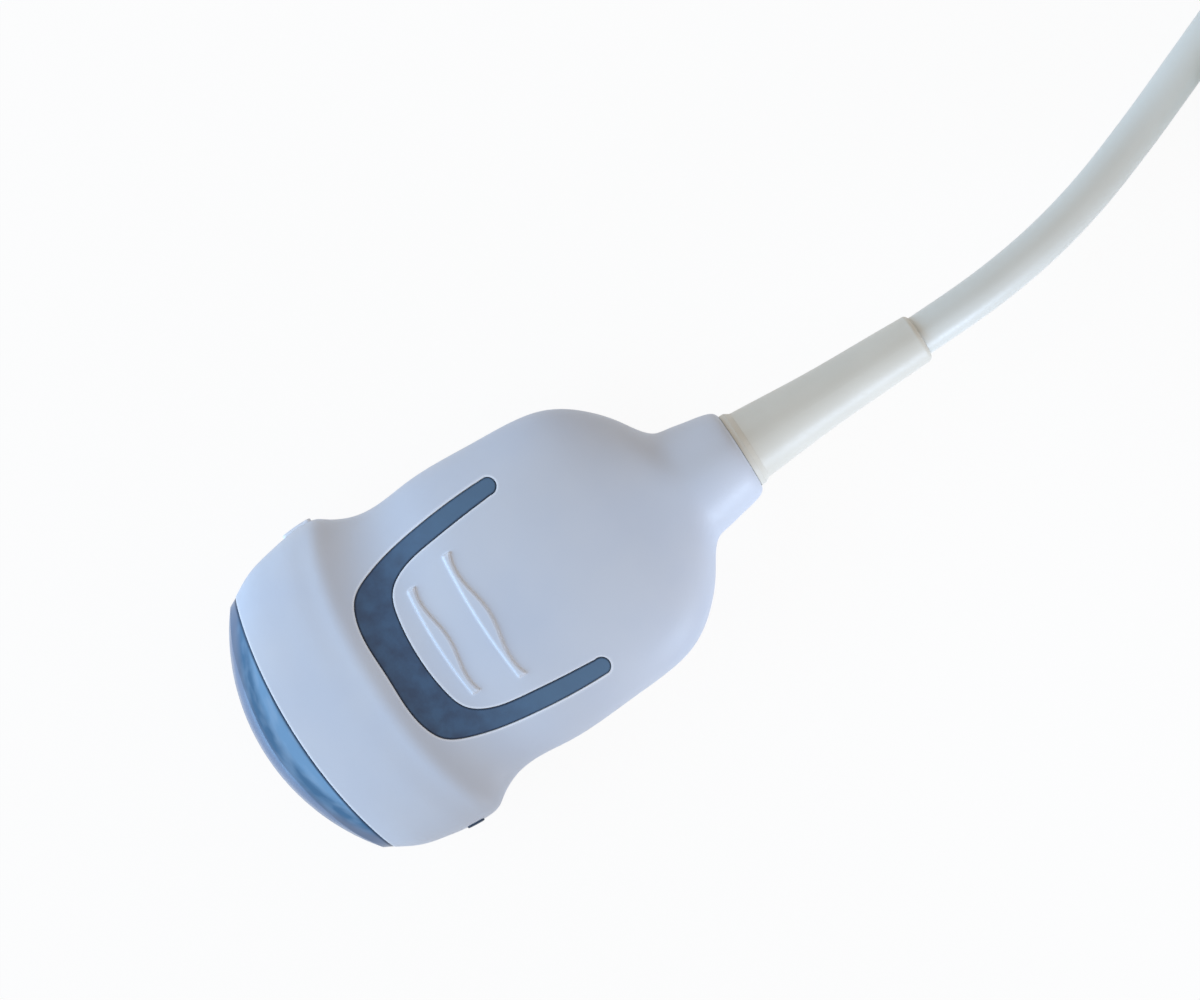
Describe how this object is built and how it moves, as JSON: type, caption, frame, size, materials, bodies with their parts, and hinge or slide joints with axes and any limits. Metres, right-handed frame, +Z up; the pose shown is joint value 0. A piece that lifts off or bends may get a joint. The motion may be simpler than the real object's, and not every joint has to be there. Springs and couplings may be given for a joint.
{
  "type": "ultrasound transducer probe",
  "caption": "Curved-array ultrasound probe with a waisted two-shell housing, blue U-shaped grip inlays, glossy lens, strain relief, tied cable and lever-lock connector.",
  "frame": {"origin": "centre of the bottom of the probe's own box, on the surface that it lies on; the cord is left out", "axes": "+X along the probe from the lens to the cable, +Z up through its broad face, +Y across it"},
  "size_m": [0.5443, 0.1019, 0.0449],
  "materials": {
    "housing_plastic": "fine matt moulded plastic, pale lavender grey",
    "inlay_rubber": "soft matt slate-blue inlay, fine grain",
    "lens_silicone": "smooth glossy blue-grey silicone",
    "relief_rubber": "matt light warm-grey elastomer",
    "cable_jacket": "matt light-grey cable jacket",
    "epoxy_layer": "cured filled epoxy",
    "piezo_ceramic": "sawn ceramic",
    "backing_epoxy": "dark filled epoxy",
    "inner_plastic": "black glass-filled plastic",
    "copper": "plain copper",
    "circuit_board": "green solder mask",
    "flex_film": "amber film",
    "header_plastic": "ivory moulded plastic",
    "harness_tape": "white taped bundle",
    "plain_steel": "plain turned steel",
    "seal_rubber": "black seal rubber",
    "tie_fabric": "black hook-and-loop strap",
    "plug_plastic": "matt moulded plastic, light grey",
    "shroud_metal": "plated die casting",
    "contact_plastic": "black moulded block",
    "contact_metal": "gold-plated pads",
    "lever_plastic": "slate-blue moulded plastic"
  },
  "bodies": {
    "probe": {"top_shell": "housing_plastic", "bottom_shell": "housing_plastic", "top_grip_inlay": "inlay_rubber", "bottom_grip_inlay": "inlay_rubber", "orientation_marker": "inlay_rubber", "acoustic_lens": "lens_silicone", "outer_matching_layer": "epoxy_layer", "inner_matching_layer": "epoxy_layer", "piezo_array": "piezo_ceramic", "backing_block": "backing_epoxy", "heat_spreader": "copper", "array_frame": "inner_plastic", "board_carrier": "inner_plastic", "upper_board": "circuit_board", "lower_board": "circuit_board", "upper_headers": "header_plastic", "lower_headers": "header_plastic", "upper_flex": "flex_film", "lower_flex": "flex_film", "coax_harness": "harness_tape", "cable_clamp": "plain_steel", "seal_ring": "seal_rubber", "crimp_ferrule": "plain_steel", "strain_relief": "relief_rubber", "cable": "cable_jacket", "cable_hank": "cable_jacket", "cable_tail": "cable_jacket", "hank_tie": "tie_fabric", "connector_base": "plug_plastic", "connector_cover": "plug_plastic", "connector_screws": "plain_steel", "connector_shroud": "shroud_metal", "contact_block": "contact_plastic", "contact_pins": "contact_metal", "connector_board": "circuit_board", "shaft_bushing": "header_plastic", "connector_boot": "relief_rubber"},
    "lock": {"lock_shaft": "plain_steel", "lock_lever": "lever_plastic"}
  },
  "joints": [
    {"name": "lock_turn", "type": "hinge", "parent": "probe", "child": "lock", "pos_m": [0.41345, 0.001, 0.02], "axis": [0, 0, 1], "range_deg": [0, 90]}
  ]
}
